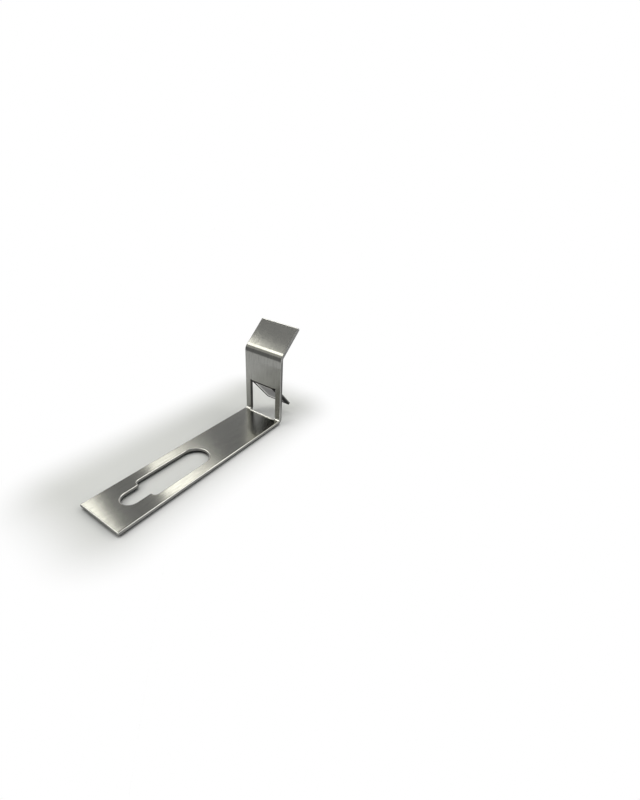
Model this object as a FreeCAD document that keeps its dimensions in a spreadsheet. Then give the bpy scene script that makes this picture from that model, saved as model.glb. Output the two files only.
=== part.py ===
import FreeCAD, Part
import math
import os
import Sketcher
from enum import IntEnum

# A facade cladding clip: one strip of stainless sheet, cut in the flat and folded.
# Millimetres. The sketches measure X along the leg from the upright's back face, Y across the strip
# and Z up from the leg's underside. The body is then moved along X, so that its origin lies under
# the middle of the slot's wide part, where the fixing screw goes.

NODE = "cladding_clip"

SIZES = {
    # the strip
    "StripWidth": 20.0,
    "Sheet": 1.5,
    "EdgeRound": 0.4,
    # leg, and the square fold at its heel
    "LegLength": 80.0,
    "HeelRadius": 0.6,
    # stepped slot: the narrow part lies next to the leg's free end, the wide part next to the upright
    "SlotEndMargin": 8.0,
    "NarrowSlotLength": 8.5,
    "NarrowSlotWidth": 6.7,
    "WideSlotLength": 27.0,
    "WideSlotWidth": 11.0,
    "ShoulderRadius": 0.6,
    # lip: its fold height is where the two flat faces would meet
    "LipFoldHeight": 32.0,
    "LipLength": 15.6,
    "LipAngle": 48.0,
    "LipRadius": 1.2,
    # window at the upright's foot, and the tongue bent out of it: the window's foot is how far it
    # reaches past the heel's fold into the leg
    "WindowWidth": 13.8,
    "WindowTop": 17.1,
    "WindowFoot": 0.15,
    "TongueGap": 0.4,
    "TongueAngle": 41.0,
    "TongueRadius": 0.3,
}

# where the slot changes width, and where its wide part begins, along the leg
SLOT_STEP = "Sizes.LegLength - Sizes.SlotEndMargin - Sizes.NarrowSlotLength"
SLOT_START = SLOT_STEP + " - Sizes.WideSlotLength"

# two faces meet in a sharp edge where the cosine between their normals is under this
SHARP_COSINE = 0.5
LENGTH_TOLERANCE = 1e-4


class Point(IntEnum):
    """Points of a line or arc, as a sketch numbers them."""
    START = 1
    END = 2
    CENTRE = 3


class Axis(IntEnum):
    """A sketch's own axes, as it numbers them."""
    ACROSS = -1
    UP = -2


START, END, CENTRE = Point
X_AXIS, Y_AXIS = Axis


def vector(x, y):
    return FreeCAD.Vector(x, y, 0)


def line(begin, finish):
    return Part.LineSegment(vector(*begin), vector(*finish))


def arc(centre, radius, begin_deg, finish_deg):
    """Arc of a circle, anticlockwise between two angles."""
    circle = Part.Circle(vector(*centre), FreeCAD.Vector(0, 0, 1), radius)
    return Part.ArcOfCircle(circle, math.radians(begin_deg), math.radians(finish_deg))


def polar(centre, radius, angle_deg):
    angle = math.radians(angle_deg)
    return (centre[0] + radius * math.cos(angle), centre[1] + radius * math.sin(angle))


def make_sheet(doc):
    """Spreadsheet with one named cell for each driving dimension."""
    sheet = doc.addObject("Spreadsheet::Sheet", "Sizes")
    for row, (name, value) in enumerate(SIZES.items(), start=1):
        sheet.set("A%d" % row, name)
        sheet.set("B%d" % row, "%g" % value)
        sheet.setAlias("B%d" % row, name)
    doc.recompute()


def make_sketch(body, name, plane_role):
    """Empty sketch on one of the body's own origin planes."""
    plane = next(item for item in body.Origin.OriginFeatures if item.Role == plane_role)
    sketch = body.newObject("Sketcher::SketchObject", name)
    sketch.AttachmentSupport = [(plane, "")]
    sketch.MapMode = "FlatFace"
    return sketch


def constrain(sketch, kind, *arguments):
    return sketch.addConstraint(Sketcher.Constraint(kind, *arguments))


def dimension(sketch, name, expression, kind, *arguments):
    """Named dimension of a sketch, driven by the spreadsheet."""
    index = constrain(sketch, kind, *arguments)
    sketch.renameConstraint(index, name)
    sketch.setExpression("Constraints." + name, expression)


def strip_profile(body, size):
    """Side view of the folded strip: leg, heel, upright, lip fold and lip, as one closed outline."""
    sheet, heel = size["Sheet"], size["HeelRadius"]
    lip_turn = size["LipAngle"]
    heel_centre = (sheet + heel, sheet + heel)
    setback = (size["LipRadius"] + sheet) * math.tan(math.radians(lip_turn / 2))
    lip_centre = (-size["LipRadius"], size["LipFoldHeight"] - setback)
    lip_outer = polar(lip_centre, size["LipRadius"] + sheet, lip_turn)
    lip_inner = polar(lip_centre, size["LipRadius"], lip_turn)
    lip_run = size["LipLength"] - setback
    lip_tip_outer = polar(lip_outer, lip_run, 90 + lip_turn)
    lip_tip_inner = polar(lip_inner, lip_run, 90 + lip_turn)
    leg_end = size["LegLength"]

    sketch = make_sketch(body, "StripProfile", "XZ_Plane")
    underside, free_end, leg_top, heel_inside, front, lip_outside, lip_front, lip_end, lip_back, lip_inside, \
        back, heel_outside = sketch.addGeometry([
            line((heel_centre[0], 0), (leg_end, 0)),
            line((leg_end, 0), (leg_end, sheet)),
            line((leg_end, sheet), (heel_centre[0], sheet)),
            arc(heel_centre, heel, 180, 270),
            line((sheet, heel_centre[1]), (sheet, lip_centre[1])),
            arc(lip_centre, size["LipRadius"] + sheet, 0, lip_turn),
            line(lip_outer, lip_tip_outer),
            line(lip_tip_outer, lip_tip_inner),
            line(lip_tip_inner, lip_inner),
            arc(lip_centre, size["LipRadius"], 0, lip_turn),
            line((0, lip_centre[1]), (0, heel_centre[1])),
            arc(heel_centre, heel + sheet, 180, 270),
        ], False)

    for first, first_end, second, second_end in (
        (underside, END, free_end, START),
        (free_end, END, leg_top, START),
        (lip_front, END, lip_end, START),
        (lip_end, END, lip_back, START),
    ):
        constrain(sketch, "Coincident", first, first_end, second, second_end)
    for first, first_end, second, second_end in (
        (leg_top, END, heel_inside, END),
        (heel_inside, START, front, START),
        (front, END, lip_outside, START),
        (lip_outside, END, lip_front, START),
        (lip_back, END, lip_inside, END),
        (lip_inside, START, back, START),
        (back, END, heel_outside, START),
        (heel_outside, END, underside, START),
    ):
        constrain(sketch, "Tangent", first, first_end, second, second_end)
    constrain(sketch, "Coincident", heel_inside, CENTRE, heel_outside, CENTRE)
    constrain(sketch, "Coincident", lip_inside, CENTRE, lip_outside, CENTRE)
    constrain(sketch, "PointOnObject", underside, END, X_AXIS)
    constrain(sketch, "PointOnObject", back, START, Y_AXIS)
    constrain(sketch, "Horizontal", underside)
    constrain(sketch, "Horizontal", leg_top)
    constrain(sketch, "Vertical", free_end)
    constrain(sketch, "Vertical", front)
    constrain(sketch, "Vertical", back)
    constrain(sketch, "Perpendicular", lip_front, lip_end)
    constrain(sketch, "Parallel", lip_front, lip_back)

    fold_setback = "(Sizes.LipRadius + Sizes.Sheet) * tan(Sizes.LipAngle / 2)"
    dimension(sketch, "LegLength", "Sizes.LegLength", "DistanceX", X_AXIS, START, underside, END, leg_end)
    dimension(sketch, "Sheet", "Sizes.Sheet", "DistanceY", free_end, START, free_end, END, sheet)
    dimension(sketch, "HeelRadius", "Sizes.HeelRadius", "Radius", heel_inside, heel)
    dimension(sketch, "LipRadius", "Sizes.LipRadius", "Radius", lip_inside, size["LipRadius"])
    dimension(sketch, "LipFold", "Sizes.LipFoldHeight - " + fold_setback,
              "DistanceY", X_AXIS, START, lip_outside, CENTRE, lip_centre[1])
    dimension(sketch, "LipRun", "Sizes.LipLength - " + fold_setback, "Distance", lip_front, lip_run)
    dimension(sketch, "LipDirection", "90 deg + Sizes.LipAngle * 1 deg",
              "Angle", lip_front, math.radians(90 + lip_turn))
    return sketch


def slot_profile(body, size):
    """Plan view of the stepped slot: two round-ended widths joined by S-shaped shoulders."""
    wide, narrow = size["WideSlotWidth"] / 2, size["NarrowSlotWidth"] / 2
    shoulder = size["ShoulderRadius"]
    corner = wide - narrow - shoulder
    slot_end = size["LegLength"] - size["SlotEndMargin"]
    step = slot_end - size["NarrowSlotLength"]
    wide_centre = step - size["WideSlotLength"] + wide
    narrow_centre = slot_end - narrow

    sketch = make_sketch(body, "SlotProfile", "XY_Plane")
    wide_end, low_wide, low_corner, low_shoulder, low_narrow, narrow_end, high_narrow, high_shoulder, \
        high_corner, high_wide = sketch.addGeometry([
            arc((wide_centre, 0), wide, 90, 270),
            line((wide_centre, -wide), (step - corner, -wide)),
            arc((step - corner, -wide + corner), corner, 270, 360),
            arc((step + shoulder, -narrow - shoulder), shoulder, 90, 180),
            line((step + shoulder, -narrow), (narrow_centre, -narrow)),
            arc((narrow_centre, 0), narrow, 270, 450),
            line((narrow_centre, narrow), (step + shoulder, narrow)),
            arc((step + shoulder, narrow + shoulder), shoulder, 180, 270),
            arc((step - corner, wide - corner), corner, 0, 90),
            line((step - corner, wide), (wide_centre, wide)),
        ], False)

    for first, first_end, second, second_end in (
        (wide_end, END, low_wide, START),
        (low_wide, END, low_corner, START),
        (low_corner, END, low_shoulder, END),
        (low_shoulder, START, low_narrow, START),
        (low_narrow, END, narrow_end, START),
        (narrow_end, END, high_narrow, START),
        (high_narrow, END, high_shoulder, END),
        (high_shoulder, START, high_corner, START),
        (high_corner, END, high_wide, START),
        (high_wide, END, wide_end, START),
    ):
        constrain(sketch, "Tangent", first, first_end, second, second_end)
    for straight in (low_wide, low_narrow, high_narrow, high_wide):
        constrain(sketch, "Horizontal", straight)
    constrain(sketch, "PointOnObject", wide_end, CENTRE, X_AXIS)
    constrain(sketch, "PointOnObject", narrow_end, CENTRE, X_AXIS)
    constrain(sketch, "Horizontal", low_corner, CENTRE, low_corner, END)
    constrain(sketch, "Horizontal", high_corner, CENTRE, high_corner, START)
    constrain(sketch, "Vertical", low_corner, END, high_corner, START)
    constrain(sketch, "Equal", low_shoulder, high_shoulder)

    dimension(sketch, "WideRadius", "Sizes.WideSlotWidth / 2", "Radius", wide_end, wide)
    dimension(sketch, "NarrowRadius", "Sizes.NarrowSlotWidth / 2", "Radius", narrow_end, narrow)
    dimension(sketch, "ShoulderRadius", "Sizes.ShoulderRadius", "Radius", low_shoulder, shoulder)
    dimension(sketch, "WideCentre", SLOT_START + " + Sizes.WideSlotWidth / 2",
              "DistanceX", X_AXIS, START, wide_end, CENTRE, wide_centre)
    dimension(sketch, "Step", SLOT_STEP, "DistanceX", X_AXIS, START, low_corner, END, step)
    dimension(sketch, "NarrowCentre", "Sizes.LegLength - Sizes.SlotEndMargin - Sizes.NarrowSlotWidth / 2",
              "DistanceX", X_AXIS, START, narrow_end, CENTRE, narrow_centre)
    return sketch


def window_profile(body, size):
    """Side view of the window's cut: it was punched in the flat, and reaches past the heel's fold into
    the leg."""
    foot = size["Sheet"] + size["HeelRadius"] + size["WindowFoot"]
    top = size["WindowTop"]

    sketch = make_sketch(body, "WindowProfile", "XZ_Plane")
    base, rear, head, front = sketch.addGeometry([
        line((foot, -foot), (-foot, -foot)),
        line((-foot, -foot), (-foot, top)),
        line((-foot, top), (foot, top)),
        line((foot, top), (foot, -foot)),
    ], False)
    for first, second in ((base, rear), (rear, head), (head, front), (front, base)):
        constrain(sketch, "Coincident", first, END, second, START)
    constrain(sketch, "Horizontal", base)
    constrain(sketch, "Vertical", rear)
    constrain(sketch, "Horizontal", head)
    constrain(sketch, "Vertical", front)
    reach = "Sizes.Sheet + Sizes.HeelRadius + Sizes.WindowFoot"
    dimension(sketch, "Foot", reach, "DistanceX", X_AXIS, START, base, START, foot)
    dimension(sketch, "Below", reach, "DistanceY", base, START, X_AXIS, START, foot)
    dimension(sketch, "Behind", reach, "DistanceX", rear, START, X_AXIS, START, foot)
    dimension(sketch, "WindowTop", "Sizes.WindowTop", "DistanceY", X_AXIS, START, head, START, top)
    return sketch


def tongue_profile(body, size):
    """Side view of the tongue: hinged at the window's top and as long as the metal cut from the window."""
    sheet, bend = size["Sheet"], size["TongueRadius"]
    turn = size["TongueAngle"]
    hinge = (-bend, size["WindowTop"])
    middle = sheet / 2
    heel_arc = (size["HeelRadius"] + middle) * math.pi / 2
    flat_length = size["WindowTop"] - sheet - size["HeelRadius"] + heel_arc + size["WindowFoot"]
    run = flat_length - (bend + middle) * math.radians(turn)
    outer = polar(hinge, bend + sheet, -turn)
    inner = polar(hinge, bend, -turn)
    tip_outer = polar(outer, run, 270 - turn)
    tip_inner = polar(inner, run, 270 - turn)

    sketch = make_sketch(body, "TongueProfile", "XZ_Plane")
    root, outside, face, tip, rear, inside = sketch.addGeometry([
        line((0, hinge[1]), (sheet, hinge[1])),
        arc(hinge, bend + sheet, -turn, 0),
        line(outer, tip_outer),
        line(tip_outer, tip_inner),
        line(tip_inner, inner),
        arc(hinge, bend, -turn, 0),
    ], False)
    for first, first_end, second, second_end in (
        (root, END, outside, END),
        (face, END, tip, START),
        (tip, END, rear, START),
        (inside, END, root, START),
    ):
        constrain(sketch, "Coincident", first, first_end, second, second_end)
    constrain(sketch, "Tangent", outside, START, face, START)
    constrain(sketch, "Tangent", rear, END, inside, START)
    constrain(sketch, "Coincident", inside, CENTRE, outside, CENTRE)
    constrain(sketch, "Horizontal", root)
    constrain(sketch, "Horizontal", inside, CENTRE, inside, END)
    constrain(sketch, "PointOnObject", root, START, Y_AXIS)
    constrain(sketch, "Perpendicular", face, tip)
    constrain(sketch, "Parallel", face, rear)

    dimension(sketch, "Hinge", "Sizes.WindowTop", "DistanceY", X_AXIS, START, root, START, hinge[1])
    dimension(sketch, "Sheet", "Sizes.Sheet", "DistanceX", root, START, root, END, sheet)
    dimension(sketch, "TongueRadius", "Sizes.TongueRadius", "Radius", inside, bend)
    dimension(sketch, "TongueDirection", "270 deg - Sizes.TongueAngle * 1 deg",
              "Angle", face, math.radians(270 - turn))
    dimension(
        sketch, "TongueRun",
        "Sizes.WindowTop - Sizes.Sheet - Sizes.HeelRadius + (Sizes.HeelRadius + Sizes.Sheet / 2) * pi / 2"
        " + Sizes.WindowFoot - (Sizes.TongueRadius + Sizes.Sheet / 2) * Sizes.TongueAngle * pi / 180",
        "Distance", face, run)
    return sketch


def swept(body, kind, name, sketch, width):
    """Pad or pocket of a side view, equally to both sides of the strip's middle."""
    feature = body.newObject(kind, name)
    feature.Profile = sketch
    feature.SideType = "Symmetric"
    feature.setExpression("Length", width)
    return feature


def is_sharp(shape, edge):
    """True where the edge's two faces meet at an angle, not in a smooth run."""
    middle = edge.valueAt((edge.FirstParameter + edge.LastParameter) / 2)
    first, second = [
        face.normalAt(*face.Surface.parameter(middle))
        for face in shape.ancestorsOfType(edge, Part.Face)
    ]
    return abs(first.dot(second)) < SHARP_COSINE


def rim_edges(shape, sheet):
    """Names of the sharp edges along the strip's outline, slot, window and tongue. The corners that run
    through the sheet, and what is shorter than the sheet is thick, stay as they were cut."""
    return [
        "Edge%d" % number
        for number, edge in enumerate(shape.Edges, start=1)
        if edge.Length > sheet + LENGTH_TOLERANCE and is_sharp(shape, edge)
    ]


def require(condition, message):
    if not condition:
        raise RuntimeError(message)


def check(doc, body, features):
    """Stop before anything is written if a feature failed, did nothing or left a faulty solid."""
    for item in doc.Objects:
        require(not {"Invalid", "Error"} & set(item.State), item.Name + " failed")
    for sketch in doc.findObjects("Sketcher::SketchObject"):
        require(sketch.FullyConstrained, sketch.Name + " is loose")
    strip, slot, window, tongue, rounding = [feature.Shape.Volume for feature in features]
    require(slot < strip, "the slot cuts nothing")
    require(window < slot, "the window cuts nothing")
    require(tongue > window, "the tongue adds nothing")
    require(rounding < tongue, "the edges aren't rounded")
    require(not body.Shape.isNull() and body.Shape.isValid(), "the clip isn't a valid shape")
    require(len(body.Shape.Solids) == 1, "the clip isn't one solid")


def build():
    doc = FreeCAD.newDocument("CladdingClip")
    make_sheet(doc)
    body = doc.addObject("PartDesign::Body", "Clip")
    body.Label = NODE

    strip = swept(body, "PartDesign::Pad", "Strip", strip_profile(body, SIZES), "Sizes.StripWidth")
    doc.recompute()
    slot = body.newObject("PartDesign::Pocket", "FixingSlot")
    slot.Profile = slot_profile(body, SIZES)
    slot.Type = "ThroughAll"
    slot.Reversed = True
    doc.recompute()
    window = swept(body, "PartDesign::Pocket", "Window", window_profile(body, SIZES), "Sizes.WindowWidth")
    doc.recompute()
    tongue = swept(body, "PartDesign::Pad", "Tongue", tongue_profile(body, SIZES),
                   "Sizes.WindowWidth - 2 * Sizes.TongueGap")
    doc.recompute()
    rounding = body.newObject("PartDesign::Fillet", "RoundedEdges")
    rounding.Base = (tongue, rim_edges(tongue.Shape, SIZES["Sheet"]))
    rounding.setExpression("Radius", "Sizes.EdgeRound")
    body.setExpression("Placement.Base.x", "-(" + SLOT_START + " + Sizes.WideSlotLength / 2)")
    doc.recompute()

    check(doc, body, (strip, slot, window, tongue, rounding))
    os.makedirs("parts", exist_ok=True)
    body.Shape.exportStep(os.path.join("parts", body.Label + ".step"))


build()
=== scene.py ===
import math

import bpy
from mathutils import Matrix, Vector


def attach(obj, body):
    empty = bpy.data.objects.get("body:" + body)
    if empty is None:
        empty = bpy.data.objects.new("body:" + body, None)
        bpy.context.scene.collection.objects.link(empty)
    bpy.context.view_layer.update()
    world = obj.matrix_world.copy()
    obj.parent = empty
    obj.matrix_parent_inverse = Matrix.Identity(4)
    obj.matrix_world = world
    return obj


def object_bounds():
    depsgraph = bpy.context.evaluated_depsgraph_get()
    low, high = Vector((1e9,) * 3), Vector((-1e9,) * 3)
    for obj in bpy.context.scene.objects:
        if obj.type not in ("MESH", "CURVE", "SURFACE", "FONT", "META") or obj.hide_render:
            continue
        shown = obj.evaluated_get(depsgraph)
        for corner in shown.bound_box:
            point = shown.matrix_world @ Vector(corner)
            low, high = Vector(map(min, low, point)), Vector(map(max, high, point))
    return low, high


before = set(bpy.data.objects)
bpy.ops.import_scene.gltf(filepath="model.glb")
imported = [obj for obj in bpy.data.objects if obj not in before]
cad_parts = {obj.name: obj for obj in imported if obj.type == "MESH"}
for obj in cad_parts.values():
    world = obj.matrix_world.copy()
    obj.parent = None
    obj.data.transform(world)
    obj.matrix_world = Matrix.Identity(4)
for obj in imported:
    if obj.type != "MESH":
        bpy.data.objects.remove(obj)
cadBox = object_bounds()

mm = 0.001
rising = (0.0, 1.0)
falling = (1.0, 0.0)
scene = bpy.context.scene
scene.view_settings.view_transform = "Standard"
print("loaded", sorted(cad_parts))


# small helpers for node trees

def addNode(tree, kind, label, **settings):
    node = tree.nodes.new(kind)
    node.name = label
    node.label = label
    for name, value in settings.items():
        setattr(node, name, value)
    return node


def feed(tree, source, target):
    # a number or tuple is set on the socket, a socket is linked to it
    if isinstance(source, bpy.types.NodeSocket):
        tree.links.new(source, target)
    else:
        target.default_value = source


def mathNode(tree, operation, label, first, second=0.0, clamp=False):
    node = addNode(tree, "ShaderNodeMath", label, operation=operation, use_clamp=clamp)
    feed(tree, first, node.inputs[0])
    feed(tree, second, node.inputs[1])
    return node.outputs[0]


def allOf(tree, label, first, *others):
    # masks multiplied together
    product = first
    for other in others:
        product = mathNode(tree, "MULTIPLY", label, product, other)
    return product


def between(tree, label, value, limits):
    low, high = limits
    above = mathNode(tree, "GREATER_THAN", label + " from", value, low)
    below = mathNode(tree, "LESS_THAN", label + " to", value, high)
    return allOf(tree, label, above, below)


def rangeNode(tree, label, value, fromRange, toRange, smooth=False):
    # the value from one range to the other, held at its ends
    node = addNode(tree, "ShaderNodeMapRange", label)
    node.interpolation_type = "SMOOTHSTEP" if smooth else "LINEAR"
    feed(tree, value, node.inputs["Value"])
    feed(tree, fromRange[0], node.inputs["From Min"])
    feed(tree, fromRange[1], node.inputs["From Max"])
    feed(tree, toRange[0], node.inputs["To Min"])
    feed(tree, toRange[1], node.inputs["To Max"])
    return node.outputs["Result"]


def vectorNode(tree, operation, label, first, second=None):
    node = addNode(tree, "ShaderNodeVectorMath", label, operation=operation)
    feed(tree, first, node.inputs[0])
    if second is not None:
        feed(tree, second, node.inputs[1])
    givesNumber = operation in ("DOT_PRODUCT", "LENGTH")
    return node.outputs["Value" if givesNumber else "Vector"]


def scaleNode(tree, label, vector, factor):
    node = addNode(tree, "ShaderNodeVectorMath", label, operation="SCALE")
    feed(tree, vector, node.inputs[0])
    feed(tree, factor, node.inputs["Scale"])
    return node.outputs["Vector"]


def mixColour(tree, label, factor, first, second):
    node = addNode(tree, "ShaderNodeMix", label, data_type="RGBA")
    feed(tree, factor, node.inputs[0])
    feed(tree, first, node.inputs[6])    # the Mix node's two colours
    feed(tree, second, node.inputs[7])
    return node.outputs[2]


def mixValue(tree, label, factor, first, second):
    node = addNode(tree, "ShaderNodeMix", label, data_type="FLOAT")
    feed(tree, factor, node.inputs[0])
    feed(tree, first, node.inputs[2])    # the Mix node's two numbers
    feed(tree, second, node.inputs[3])
    return node.outputs[0]


def newMaterial(name):
    material = bpy.data.materials.new(name)
    material.use_nodes = True
    material.node_tree.nodes.clear()
    return material, material.node_tree


def showSurface(tree, shader):
    output = addNode(tree, "ShaderNodeOutputMaterial", "output")
    feed(tree, shader.outputs[0], output.inputs["Surface"])


# brushed grain: streaks that change quickly across the strip and slowly along it

brushedGrain = {
    "detail": 3.0,
    "roughness": 0.6,
    "spread": (0.3, 0.7),   # the noise between these becomes 0 to 1
}


def makeGrainGroup():
    look = brushedGrain
    tree = bpy.data.node_groups.new("brushedGrain", "ShaderNodeTree")
    tree.interface.new_socket("Place", in_out="INPUT", socket_type="NodeSocketVector")
    tree.interface.new_socket("Across", in_out="INPUT", socket_type="NodeSocketFloat")
    tree.interface.new_socket("Along", in_out="INPUT", socket_type="NodeSocketFloat")
    tree.interface.new_socket("Streak", in_out="OUTPUT", socket_type="NodeSocketFloat")
    given = addNode(tree, "NodeGroupInput", "given")
    scales = addNode(tree, "ShaderNodeCombineXYZ", "streak scales")
    feed(tree, given.outputs["Along"], scales.inputs["X"])
    feed(tree, given.outputs["Across"], scales.inputs["Y"])
    feed(tree, given.outputs["Along"], scales.inputs["Z"])
    stretched = vectorNode(tree, "MULTIPLY", "stretched place", given.outputs["Place"], scales.outputs[0])
    noise = addNode(tree, "ShaderNodeTexNoise", "streaks")
    noise.inputs["Scale"].default_value = 1.0
    noise.inputs["Detail"].default_value = look["detail"]
    noise.inputs["Roughness"].default_value = look["roughness"]
    feed(tree, stretched, noise.inputs["Vector"])
    streak = rangeNode(tree, "spread", noise.outputs["Fac"], look["spread"], rising)
    result = addNode(tree, "NodeGroupOutput", "result")
    feed(tree, streak, result.inputs["Streak"])
    return tree


grainGroup = makeGrainGroup()
print("grain group made")


def grainNode(tree, label, place, streaks):
    # streaks per metre, across the strip and along it
    across, along = streaks
    node = addNode(tree, "ShaderNodeGroup", label)
    node.node_tree = grainGroup
    feed(tree, place, node.inputs["Place"])
    feed(tree, across, node.inputs["Across"])
    feed(tree, along, node.inputs["Along"])
    return node.outputs["Streak"]


# the clip's brushed stainless sheet, toned part by part after the photo, in metres and degrees

brushedSteel = {
    "colour": (0.398, 0.399, 0.375, 1),       # smooth streaks
    "openColour": (0.278, 0.278, 0.263, 1),   # open streaks
    "rimHighlightColour": (0.78, 0.78, 0.76, 1),       # painted highlight on the rounded edges
    "cutColour": (0.33, 0.33, 0.318, 1),      # faces cut through the sheet
    "tornShadedColour": (0.085, 0.085, 0.082, 1),   # torn steel with painted shade, low on the leg's cut faces
    "windowShadeColour": (0.135, 0.135, 0.13, 1),  # painted shade on the cut faces and rims round the window and the tongue
    "tongueShadeColour": (0.12, 0.12, 0.117, 1),   # painted shade on the front of the tongue
    "lineHighlightColour": (0.95, 0.95, 0.93, 1),      # painted highlight: a bright line on the tongue
    "heelHighlightColour": (0.62, 0.62, 0.60, 1),      # painted highlight inside the heel's fold
    "dullShadeColour": (0.05, 0.05, 0.049, 1),     # painted shade: dark lines on the tongue, and the upright's edges in part
    "edgeShare": 0.65,                        # how far the upright's edges go to the painted shade
    "edgeTint": (0.78, 0.77, 0.79, 1),        # steel's dip at a low angle
    "upShade": 0.80,                           # painted shade: the sheet's colour times this, up the upright
    "lipLight": 1.2,                           # painted light: and times this on the lip
    "cutTone": (0.75, 1.2),                   # the cut colour times these, in the cut faces' grain

    "roughness": (0.150, 0.195),              # smooth and open streaks
    "rimRoughness": 0.30,
    "cutRoughness": 0.45,
    "dullRoughness": 0.95,                    # dark lines on the tongue
    "anisotropic": 0.9,
    "acrossStrip": (0.03, 1.0, 0.02),         # turned a little, so that it is defined on the side faces too

    "fineGrain": (3300.0, 230.0),             # streaks per metre, across and along
    "broadGrain": (900.0, 40.0),
    "grainShares": (0.75, 0.25),              # of the fine and the broad grain
    "cutGrain": (1900.0, 2600.0),
    "tiltGrain": (3500.0, 260.0),             # streaks that lean along the strip and fray the reflections
    "tiltAmount": 0.0065,
    "grainHeight": 0.0000012,

    "cutLimits": (0.3, 0.6),                  # flatness from cut faces to the rest
    "rimStart": (0.4, 0.66),                  # flatness where the rounded rims set in
    "rimEnd": (0.82, 0.95),                   # and where they end
    "legTop": 0.0017,                         # the leg lies below this height
    "heelEnd": -0.04788,                      # and from here to its free end
    "tornShadedHeight": (0.0003, 0.0005),           # up the leg's cut faces, the torn part with its painted shade
    "heelRims": (-0.036, -0.012),             # the leg's rims go from plain to their painted highlight between these
    "heelX": (-0.0487, -0.0477),              # the inside of the heel's fold
    "heelZ": (0.00145, 0.00225),
    "edgeLow": (0.004, 0.010),                # the upright's edges carry painted shade from here
    "edgeHigh": (0.0295, 0.0315),             # up to here
    "upShadeHeight": (0.017, 0.0285),            # painted shade: the upright darkens between these

    "lipCorner": (-0.0485, 0.0, 0.032),       # where the lip's outer face leaves the upright's
    "lipLean": 48.0,
    "lipStart": (0.001, 0.005),               # along the lip, where its painted light sets in
    "lipRim": (0.01515, 0.01535),             # along the lip, where its end starts to round over
    "foldHalf": 0.0012,                       # from the lip's corner to the end of its fold
    "bowReach": (0.0054, 0.0026),             # how far the shading bows below the fold and above it
    "bowAngle": (16.5, 12.5),

    "windowHalf": 0.0073,                     # half the window's width, with its rims
    "uprightBack": -0.0502,                   # the tongue lies behind this
    "tongueTop": 0.0172,                      # and below this
    "tongueBend": (-0.0485, 0.0, 0.01643),    # where the tongue's front face leaves the upright's
    "tongueLean": 41.0,
    "tongueSize": (0.0065, 0.0175),           # half its width, and its length
    "tongueDepth": 0.0010,                    # its front has painted shade up to this depth
    "tongueFace": 0.0006,                     # and has its painted lines up to this depth
    "tongueStart": -0.0003,                   # the lines start just above the bend
    "tongueLines": (0.0017, 0.0028),          # how far in from the edge the painted dark line and the painted highlight end
    "tongueStep": 0.00012,                    # each line fades over this
    "tongueSide": (0.001, 0.004),             # the painted highlight fades out between these, across the strip
    "tipShare": 0.75,                         # below 1 the lines are wider at the tip
    "bendLine": 0.0005,                       # the painted shade in the bend ends here
}


def readSurface(tree):
    # where the surface is, and the way it faces
    place = addNode(tree, "ShaderNodeTexCoord", "place").outputs["Object"]
    where = addNode(tree, "ShaderNodeSeparateXYZ", "where")
    feed(tree, place, where.inputs[0])
    return {
        "place": place,
        "x": where.outputs["X"],
        "y": where.outputs["Y"],
        "z": where.outputs["Z"],
        "offMiddle": mathNode(tree, "ABSOLUTE", "off the middle", where.outputs["Y"]),
        "normal": addNode(tree, "ShaderNodeNewGeometry", "surface").outputs["Normal"],
    }


def readLip(tree, spot):
    # distances from the lip's corner, along the lip and across its fold
    look = brushedSteel
    lean = math.radians(look["lipLean"])
    lipWay = (-math.sin(lean), 0.0, math.cos(lean))
    foldWay = (-math.tan(lean / 2), 0.0, 1.0)
    fromCorner = vectorNode(tree, "SUBTRACT", "from the lip's corner", spot["place"], look["lipCorner"])
    spot["alongLip"] = vectorNode(tree, "DOT_PRODUCT", "along the lip", fromCorner, lipWay)
    spot["acrossFold"] = vectorNode(tree, "DOT_PRODUCT", "across the fold", fromCorner, foldWay)


def readTongue(tree, spot):
    # distances from the tongue's bend, down its front face and off that face
    look = brushedSteel
    lean = math.radians(look["tongueLean"])
    downWay = (-math.sin(lean), 0.0, -math.cos(lean))
    offWay = (math.cos(lean), 0.0, -math.sin(lean))
    fromBend = vectorNode(tree, "SUBTRACT", "from the bend", spot["place"], look["tongueBend"])
    spot["downTongue"] = vectorNode(tree, "DOT_PRODUCT", "down the tongue", fromBend, downWay)
    spot["offTongue"] = vectorNode(tree, "DOT_PRODUCT", "off its face", fromBend, offWay)


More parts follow.
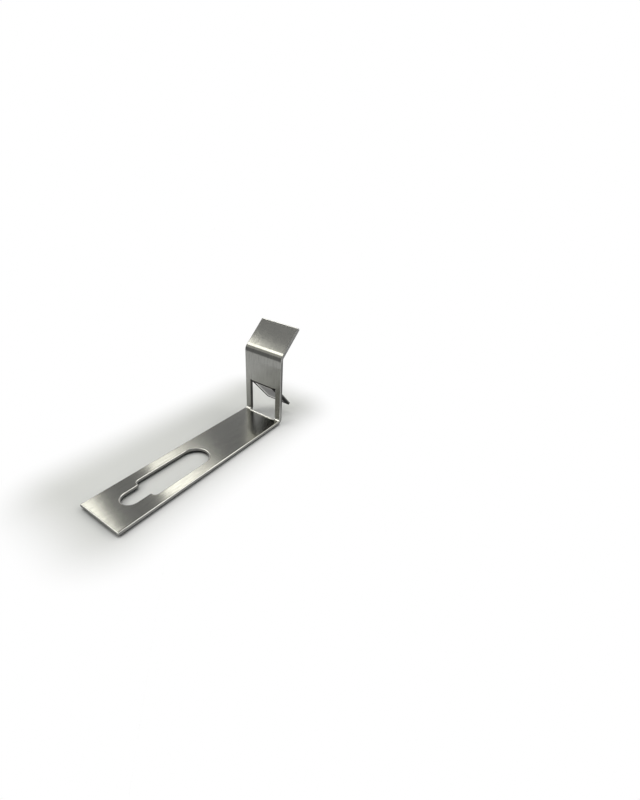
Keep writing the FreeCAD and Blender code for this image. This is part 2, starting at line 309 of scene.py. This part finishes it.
def readFaces(tree, spot):
    # masks of the leg, the faces cut through the sheet, the rounded rims, the tongue's front and the window
    look = brushedSteel
    low = mathNode(tree, "LESS_THAN", "low", spot["z"], look["legTop"])
    beforeHeel = mathNode(tree, "GREATER_THAN", "before the heel", spot["x"], look["heelEnd"])
    onLeg = allOf(tree, "on the leg", low, beforeHeel)
    offLeg = mathNode(tree, "SUBTRACT", "not the leg", 1.0, onLeg)

    # flatness is 1 on the sheet's broad faces, 0 on the cut ones and between on the rounded rims
    facing = addNode(tree, "ShaderNodeSeparateXYZ", "facing")
    feed(tree, spot["normal"], facing.inputs[0])
    sideways = facing.outputs["Y"]
    sidewaysSquared = mathNode(tree, "MULTIPLY", "sideways squared", sideways, sideways)
    rest = mathNode(tree, "SUBTRACT", "rest", 1.0, sidewaysSquared, clamp=True)
    unturned = mathNode(tree, "SQRT", "not sideways", rest)
    upward = mathNode(tree, "ABSOLUTE", "upward", facing.outputs["Z"])
    flatness = mixValue(tree, "flatness", onLeg, unturned, upward)
    cut = rangeNode(tree, "cut face", flatness, look["cutLimits"], falling, smooth=True)
    offCut = rangeNode(tree, "off the cut", flatness, look["rimStart"], rising, smooth=True)
    offSheet = rangeNode(tree, "off the sheet", flatness, look["rimEnd"], falling, smooth=True)
    rim = allOf(tree, "rounded rim", offCut, offSheet)
    lipEnd = rangeNode(tree, "lip's end", spot["alongLip"], look["lipRim"], rising, smooth=True)
    rim = mathNode(tree, "MAXIMUM", "and the lip's end", rim, lipEnd)

    nearMiddle = mathNode(tree, "LESS_THAN", "near the middle", spot["offMiddle"], look["windowHalf"])
    inUpright = mathNode(tree, "GREATER_THAN", "in the upright", spot["x"], look["uprightBack"])
    inWindow = allOf(tree, "within the window", nearMiddle, inUpright, offLeg)
    behind = mathNode(tree, "LESS_THAN", "behind the upright", spot["x"], look["uprightBack"])
    belowBend = mathNode(tree, "LESS_THAN", "below the bend", spot["z"], look["tongueTop"])
    inFront = mathNode(tree, "GREATER_THAN", "in front", spot["offTongue"], -look["tongueDepth"])
    tongueFront = allOf(tree, "tongue's front", behind, belowBend, inFront)
    punched = mathNode(tree, "MAXIMUM", "window and tongue", inWindow, tongueFront)

    # painted shade: rims round the window and the tongue lose their bright colour and take the dark colour
    # of the cut faces there
    shadedRim = allOf(tree, "dull rim", rim, punched)
    spot["onLeg"] = onLeg
    spot["tongueFront"] = tongueFront
    spot["punched"] = punched
    spot["cut"] = mathNode(tree, "MAXIMUM", "cut and dull rims", cut, shadedRim)
    spot["rim"] = mathNode(tree, "SUBTRACT", "bright rims", rim, shadedRim, clamp=True)


def readTongueLines(tree, spot):
    # a painted dark line and a painted highlight round the tongue's front face, and painted shade along its
    # bend
    look = brushedSteel
    halfWide, length = look["tongueSize"]
    dark, bright = look["tongueLines"]
    bend = look["bendLine"]
    step = look["tongueStep"]
    fromSide = mathNode(tree, "SUBTRACT", "from its sides", halfWide, spot["offMiddle"])
    fromTip = mathNode(tree, "SUBTRACT", "from its tip", length, spot["downTongue"])
    fromTip = mathNode(tree, "MULTIPLY", "wider at the tip", fromTip, look["tipShare"])
    fromEdge = mathNode(tree, "MINIMUM", "from its edge", fromSide, fromTip)

    depth = mathNode(tree, "ABSOLUTE", "either way", spot["offTongue"])
    near = mathNode(tree, "LESS_THAN", "near its face", depth, look["tongueFace"])
    started = mathNode(tree, "GREATER_THAN", "past the bend", spot["downTongue"], look["tongueStart"])
    inside = mathNode(tree, "GREATER_THAN", "inside", fromSide, -step)
    onFace = allOf(tree, "on its face", near, started, inside)

    brightLine = rangeNode(tree, "bright line", fromEdge, (bright, bright + step), falling)
    brightSide = rangeNode(tree, "bright side", spot["y"], look["tongueSide"], falling)
    spot["brightLine"] = allOf(tree, "bright on the face", brightLine, brightSide, onFace)
    edgeLine = rangeNode(tree, "dark line", fromEdge, (dark, dark + step), falling)
    bendLine = rangeNode(tree, "bend line", spot["downTongue"], (bend, bend + step), falling)
    darkLine = mathNode(tree, "MAXIMUM", "edge and bend", edgeLine, bendLine)
    spot["darkLine"] = allOf(tree, "dark on the face", darkLine, onFace)


def makeStreak(tree, spot):
    look = brushedSteel
    fineShare, broadShare = look["grainShares"]
    fine = grainNode(tree, "fine grain", spot["place"], look["fineGrain"])
    broad = grainNode(tree, "broad grain", spot["place"], look["broadGrain"])
    finePart = mathNode(tree, "MULTIPLY", "fine part", fine, fineShare)
    broadPart = mathNode(tree, "MULTIPLY", "broad part", broad, broadShare)
    return mathNode(tree, "ADD", "streak sum", finePart, broadPart)


def steelColour(tree, spot, streak):
    look = brushedSteel

    # broad faces
    sheet = mixColour(tree, "streaked steel", streak, look["colour"], look["openColour"])
    # painted shade up the upright and painted light on the lip
    upShade = rangeNode(tree, "tone up the upright", spot["z"], look["upShadeHeight"], (1.0, look["upShade"]))
    onLip = rangeNode(tree, "on the lip", spot["alongLip"], look["lipStart"], rising, smooth=True)
    sheet = scaleNode(tree, "toned steel", sheet, mixValue(tree, "tone", onLip, upShade, look["lipLight"]))
    # painted shade: the tongue's front is darkened
    sheet = mixColour(tree, "with the tongue", spot["tongueFront"], sheet, look["tongueShadeColour"])

    # cut faces and rims
    cutStreak = grainNode(tree, "cut grain", spot["place"], look["cutGrain"])
    cutTone = rangeNode(tree, "cut tone", cutStreak, rising, look["cutTone"])
    # partly torn steel, partly painted shade: the leg's cut faces go near black at their foot
    lowCut = rangeNode(tree, "low on the cut", spot["z"], look["tornShadedHeight"], falling, smooth=True)
    tornShaded = allOf(tree, "torn part", spot["onLeg"], lowCut)
    # painted shade on the cut faces round the window and the tongue
    cutFace = mixColour(tree, "sheared or punched", spot["punched"], look["cutColour"], look["windowShadeColour"])
    cutFace = mixColour(tree, "sheared and torn", tornShaded, cutFace, look["tornShadedColour"])
    cutFace = scaleNode(tree, "cut colour", cutFace, cutTone)
    colour = mixColour(tree, "with cut faces", spot["cut"], sheet, cutFace)
    # painted highlight: the rounded rims, and the lip's rounding end, take a bright colour
    colour = mixColour(tree, "with bright rims", spot["rim"], colour, look["rimHighlightColour"])

    # the painted highlight on the leg's rims gives way to the cut colour by the heel
    nearHeel = rangeNode(tree, "near the heel", spot["x"], look["heelRims"], falling)
    heelRims = allOf(tree, "rims by the heel", spot["rim"], spot["onLeg"], nearHeel)
    colour = mixColour(tree, "with plain rims by the heel", heelRims, colour, look["cutColour"])

    # painted shade: the upright's long edges are darkened
    edges = mathNode(tree, "MAXIMUM", "cut or rim", spot["cut"], spot["rim"])
    aboveHeel = rangeNode(tree, "above the heel", spot["z"], look["edgeLow"], rising)
    belowLip = rangeNode(tree, "below the lip", spot["z"], look["edgeHigh"], falling)
    shadedEdges = allOf(tree, "dulled edges", edges, aboveHeel, belowLip, look["edgeShare"])
    colour = mixColour(tree, "with dull edges", shadedEdges, colour, look["dullShadeColour"])

    # painted highlight: the inside of the heel's fold is bright
    heelAlong = between(tree, "heel along the leg", spot["x"], look["heelX"])
    heelUp = between(tree, "heel up the upright", spot["z"], look["heelZ"])
    inHeel = allOf(tree, "in the heel", heelAlong, heelUp)
    colour = mixColour(tree, "with the bright heel", inHeel, colour, look["heelHighlightColour"])

    # painted highlight and painted shade lines on the tongue
    colour = mixColour(tree, "with the bright line", spot["brightLine"], colour, look["lineHighlightColour"])
    return mixColour(tree, "with the dark lines", spot["darkLine"], colour, look["dullShadeColour"])


def steelRoughness(tree, spot, streak):
    look = brushedSteel
    roughness = rangeNode(tree, "streaked gloss", streak, rising, look["roughness"])
    roughness = mixValue(tree, "gloss with cut faces", spot["cut"], roughness, look["cutRoughness"])
    roughness = mixValue(tree, "gloss with dark lines", spot["darkLine"], roughness, look["dullRoughness"])
    return mixValue(tree, "gloss with rims", spot["rim"], roughness, look["rimRoughness"])


def steelNormal(tree, spot, streak):
    look = brushedSteel
    bump = addNode(tree, "ShaderNodeBump", "grain relief")
    bump.inputs["Strength"].default_value = 1.0
    bump.inputs["Distance"].default_value = look["grainHeight"]
    feed(tree, streak, bump.inputs["Height"])

    # each streak leans a little along the strip
    halfTilt = look["tiltAmount"] / 2
    tiltStreak = grainNode(tree, "tilt grain", spot["place"], look["tiltGrain"])
    tilt = rangeNode(tree, "lean", tiltStreak, rising, (-halfTilt, halfTilt))

    # the bow beside the lip's fold: none far off, most where the fold starts, reversed across it
    inner = look["foldHalf"]
    below, above = look["bowReach"]
    lower, upper = (math.radians(angle) for angle in look["bowAngle"])
    bowBelow = rangeNode(tree, "bow below", spot["acrossFold"], (-below, -inner), (0.0, -lower))
    bowWithin = rangeNode(tree, "bow within", spot["acrossFold"], (-inner, inner), (0.0, lower + upper))
    bowAbove = rangeNode(tree, "bow above", spot["acrossFold"], (inner, above), (0.0, -upper))
    for bow in (bowBelow, bowWithin, bowAbove):
        tilt = mathNode(tree, "ADD", "lean and bow", tilt, bow)

    widthWay = (0.0, 1.0, 0.0)
    alongStrip = vectorNode(tree, "CROSS_PRODUCT", "along the strip", widthWay, spot["normal"])
    leaning = scaleNode(tree, "leaning streaks", alongStrip, tilt)
    summed = vectorNode(tree, "ADD", "relief and lean", bump.outputs["Normal"], leaning)
    return vectorNode(tree, "NORMALIZE", "grain normal", summed)


def makeBrushedSteel():
    look = brushedSteel
    material, tree = newMaterial("brushedStainless")
    spot = readSurface(tree)
    readLip(tree, spot)   # this and the next three add what they read to spot
    readTongue(tree, spot)
    readFaces(tree, spot)
    readTongueLines(tree, spot)
    streak = makeStreak(tree, spot)
    acrossStrip = addNode(tree, "ShaderNodeCombineXYZ", "across the strip")
    for socket, value in zip(acrossStrip.inputs, look["acrossStrip"]):
        socket.default_value = value
    shader = addNode(tree, "ShaderNodeBsdfPrincipled", "steel")
    shader.inputs["Metallic"].default_value = 1.0
    shader.inputs["Anisotropic"].default_value = look["anisotropic"]
    shader.inputs["Specular Tint"].default_value = look["edgeTint"]
    feed(tree, steelColour(tree, spot, streak), shader.inputs["Base Color"])
    feed(tree, steelRoughness(tree, spot, streak), shader.inputs["Roughness"])
    feed(tree, steelNormal(tree, spot, streak), shader.inputs["Normal"])
    feed(tree, acrossStrip.outputs[0], shader.inputs["Tangent"])
    showSurface(tree, shader)
    return material


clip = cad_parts["cladding_clip"]
clip.material_slots[0].material = makeBrushedSteel()
print("clip finished in brushed steel")


# a raised bead along the window's foot, in millimetres

footBurr = {
    "place": (-47.42, 1.55),      # x and z
    "half": 6.8,                  # half its length
    "thickness": 0.60,
    # shares of the half length, and of the thickness there
    "taper": ((-1.0, 0.4), (-0.9, 0.85), (-0.75, 1.0), (0.75, 1.0), (0.9, 0.85), (1.0, 0.4)),
    "rounding": 3,                # segments in each quarter of its round
    # painted highlight: the bead's colours are far brighter than the sheet's
    "colours": ((0.93, 0.93, 0.91, 1), (0.80, 0.80, 0.785, 1)),
    "roughness": (0.22, 0.34),
    "grain": (2600.0, 900.0),     # streaks per metre, across and along
    "grainHeight": 0.004,
}


def makeBurrMaterial():
    look = footBurr
    material, tree = newMaterial("highlightBurr")
    place = addNode(tree, "ShaderNodeTexCoord", "place").outputs["Object"]
    streak = grainNode(tree, "grain", place, look["grain"])
    colour = mixColour(tree, "streaked", streak, *look["colours"])
    roughness = rangeNode(tree, "gloss", streak, rising, look["roughness"])
    bump = addNode(tree, "ShaderNodeBump", "relief")
    bump.inputs["Distance"].default_value = look["grainHeight"] * mm
    feed(tree, streak, bump.inputs["Height"])
    shader = addNode(tree, "ShaderNodeBsdfPrincipled", "steel")
    shader.inputs["Metallic"].default_value = 1.0
    feed(tree, colour, shader.inputs["Base Color"])
    feed(tree, roughness, shader.inputs["Roughness"])
    feed(tree, bump.outputs["Normal"], shader.inputs["Normal"])
    showSurface(tree, shader)
    return material


def makeFootBurr():
    look = footBurr
    footX, footZ = look["place"]
    data = bpy.data.curves.new("footBurr", "CURVE")
    data.dimensions = "3D"
    data.bevel_depth = look["thickness"] / 2 * mm
    data.bevel_resolution = look["rounding"]
    data.use_fill_caps = True
    spline = data.splines.new("POLY")
    spline.points.add(len(look["taper"]) - 1)
    for point, (along, share) in zip(spline.points, look["taper"]):
        footY = along * look["half"]
        point.co = (footX * mm, footY * mm, footZ * mm, 1.0)
        point.radius = share
    data.materials.append(makeBurrMaterial())
    bead = bpy.data.objects.new("footBurr", data)
    scene.collection.objects.link(bead)
    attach(bead, "root")


makeFootBurr()
print("burr made along the window's foot")


# floor and backdrop: pale round about the clip, running out to white with distance

stageSizes = {
    "halfWidth": 4.0,
    "drop": 0.0007,                 # the clip stands clear of the floor by this
    "poolLow": (-0.064, -0.020),    # plan corners of the pale pool, which reaches further behind the clip
    "poolHigh": (0.028, 0.002),
    "fade": 0.025,                  # from the pool to pure white
    "floorColour": (0.69, 0.703, 0.712, 1),
    "whiteColour": (1.0, 1.0, 1.0, 1),
    "contactShadowColour": (0.0, 0.0, 0.0, 1),
    "contactReach": 0.0012,         # how far the painted contact shadow under the clip's edges spreads
    "contactRange": (0.42, 0.76),   # openness of the floor from dark to unshaded
    "contactSamples": 4,
    "wallDistance": 1.7,
    "wallHeight": 0.95,
    "wallHalfWidth": 2.8,
}


def makeFloorMaterial():
    look = stageSizes
    material, tree = newMaterial("paleFloor")
    place = addNode(tree, "ShaderNodeTexCoord", "place").outputs["Object"]

    # how far the pool has run out to white
    lowX, lowY = look["poolLow"]
    highX, highY = look["poolHigh"]
    middle = ((lowX + highX) / 2, (lowY + highY) / 2, 0.0)
    halfSize = ((highX - lowX) / 2, (highY - lowY) / 2, 0.0)
    fromMiddle = vectorNode(tree, "SUBTRACT", "from the pool's middle", place, middle)
    eitherSide = vectorNode(tree, "ABSOLUTE", "either side", fromMiddle)
    beyond = vectorNode(tree, "SUBTRACT", "beyond the pool", eitherSide, halfSize)
    outside = vectorNode(tree, "MAXIMUM", "outside only", beyond, (0.0, 0.0, 0.0))
    distance = vectorNode(tree, "LENGTH", "distance from the pool", outside)
    outer = rangeNode(tree, "run out", distance, (0.0, look["fade"]), rising, smooth=True)

    # white only where it is seen, mirrored or passed on
    rays = addNode(tree, "ShaderNodeLightPath", "rays").outputs
    seen = mathNode(tree, "MAXIMUM", "seen or mirrored", rays["Is Camera Ray"], rays["Is Glossy Ray"])
    seen = mathNode(tree, "MAXIMUM", "or passed on", seen, rays["Is Transmission Ray"])
    whiteness = allOf(tree, "white out there", outer, seen)

    # painted contact shadow: a dark line where the clip comes close to the floor
    contact = addNode(tree, "ShaderNodeAmbientOcclusion", "contact", samples=look["contactSamples"])
    contact.inputs["Distance"].default_value = look["contactReach"]
    openness = contact.outputs["AO"]
    shade = rangeNode(tree, "contact shadow", openness, look["contactRange"], rising, smooth=True)

    paper = addNode(tree, "ShaderNodeBsdfDiffuse", "paper")
    paperColour = mixColour(tree, "shaded paper", shade, look["contactShadowColour"], look["floorColour"])
    feed(tree, paperColour, paper.inputs["Color"])
    white = addNode(tree, "ShaderNodeEmission", "white")
    whiteColour = mixColour(tree, "shaded white", shade, look["contactShadowColour"], look["whiteColour"])
    feed(tree, whiteColour, white.inputs["Color"])
    mixed = addNode(tree, "ShaderNodeMixShader", "paper to white")
    feed(tree, whiteness, mixed.inputs[0])
    feed(tree, paper.outputs[0], mixed.inputs[1])
    feed(tree, white.outputs[0], mixed.inputs[2])
    showSurface(tree, mixed)
    return material


def makeStage(away):
    # away is the level direction from the camera to the clip: the backdrop stands across it
    look = stageSizes
    material = makeFloorMaterial()
    half = look["halfWidth"]
    level = cadBox[0][2] - look["drop"]
    floorMesh = bpy.data.meshes.new("floor")
    corners = [(-half, -half, level), (half, -half, level), (half, half, level), (-half, half, level)]
    floorMesh.from_pydata(corners, [], [(0, 1, 2, 3)])
    across = Vector((away.y, -away.x, 0.0))
    foot = away * look["wallDistance"]
    left = foot - across * look["wallHalfWidth"]
    right = foot + across * look["wallHalfWidth"]
    top = Vector((0.0, 0.0, look["wallHeight"]))
    wallMesh = bpy.data.meshes.new("backdrop")
    wallMesh.from_pydata([left, right, right + top, left + top], [], [(0, 1, 2, 3)])
    for mesh in (floorMesh, wallMesh):
        mesh.materials.append(material)
        piece = bpy.data.objects.new(mesh.name, mesh)
        scene.collection.objects.link(piece)


# camera: the photograph's own place and angle, in millimetres and degrees

photoCamera = {
    "place": (67.03, 97.42, 97.16),
    "azimuth": 120.238,
    "elevation": 29.967,
    "roll": 4.844,
    "focalPixels": 380.5,
    "framePixels": 800,
    "sensor": 36.0,
    "nearest": 5.0,
    "farthest": 50000.0,
}


def makeCamera():
    # gives back the level direction in which the camera looks
    look = photoCamera
    azimuth = math.radians(look["azimuth"])
    elevation = math.radians(look["elevation"])
    roll = math.radians(look["roll"])
    level = math.cos(elevation)
    back = Vector((math.sin(azimuth) * level, -math.cos(azimuth) * level, math.sin(elevation)))
    right = Vector((0, 0, 1)).cross(back).normalized()
    up = back.cross(right)
    turnedRight = right * math.cos(roll) + up * math.sin(roll)
    turnedUp = up * math.cos(roll) - right * math.sin(roll)
    data = bpy.data.cameras.new("photoCamera")
    data.sensor_width = look["sensor"]
    data.lens = look["focalPixels"] / look["framePixels"] * look["sensor"]
    data.clip_start = look["nearest"] * mm
    data.clip_end = look["farthest"] * mm
    camera = bpy.data.objects.new("photoCamera", data)
    turn = Matrix((turnedRight, turnedUp, back)).transposed().to_4x4()
    camera.matrix_world = Matrix.Translation(Vector(look["place"]) * mm) @ turn
    scene.collection.objects.link(camera)
    scene.camera = camera
    return Vector((-back.x, -back.y, 0.0)).normalized()


lookingWay = makeCamera()
makeStage(lookingWay)
print("camera and stage set")


# light: soft strips overhead, each from one end to the other in metres, and a dim even room round them

softStrips = {
    "middleBand": {
        "ends": ((-0.812, -0.910, 1.293), (-3.170, -5.252, 4.497)),
        "width": 0.34,
        "radiance": 3.9,
    },
    "endBand": {
        "ends": ((-0.353, -0.340, 2.4), (-0.926, -3.285, 2.4)),
        "width": 0.37,
        "radiance": 3.5,
    },
    "heelBand": {
        "ends": ((0.498, -0.504, 2.4), (-0.075, -3.449, 2.4)),
        "width": 0.37,
        "radiance": 3.4,
    },
    "lipBand": {
        "ends": ((1.735, -0.745, 2.4), (1.162, -3.689, 2.4)),
        "width": 1.0,
        "radiance": 3.7,
    },
    "sideGlow": {
        "ends": ((3.114, -1.013, 2.4), (2.541, -3.958, 2.4)),
        "width": 1.6,
        "radiance": 0.55,
    },
    "rimPanel": {
        "ends": ((-1.0, 1.9, 1.2), (-1.7, -0.2, 2.0)),
        "width": 1.6,
        "radiance": 1.8,
    },
}

roomLight = {
    "stripColour": (1.0, 0.985, 0.90),
    "roomColour": (0.32, 0.32, 0.32, 1),
    "roomStrength": 1.0,
}


def makeStrip(name, look):
    near, far = (Vector(point) for point in look["ends"])
    middle = (near + far) / 2
    along = (far - near).normalized()
    back = (middle - along * middle.dot(along)).normalized()   # a lamp shines the other way, to the clip
    data = bpy.data.lights.new(name, "AREA")
    data.shape = "RECTANGLE"
    data.size = look["width"]
    data.size_y = (far - near).length
    data.color = roomLight["stripColour"]
    data.energy = look["radiance"] * math.pi * data.size * data.size_y   # power for that radiance
    lamp = bpy.data.objects.new(name, data)
    turn = Matrix((along.cross(back), along, back)).transposed().to_4x4()
    lamp.matrix_world = Matrix.Translation(middle) @ turn
    scene.collection.objects.link(lamp)


def makeLights():
    for name, look in softStrips.items():
        makeStrip(name, look)
    world = bpy.data.worlds.new("room")
    world.use_nodes = True
    background = world.node_tree.nodes["Background"]
    background.inputs["Color"].default_value = roomLight["roomColour"]
    background.inputs["Strength"].default_value = roomLight["roomStrength"]
    scene.world = world


makeLights()
print("lights set")
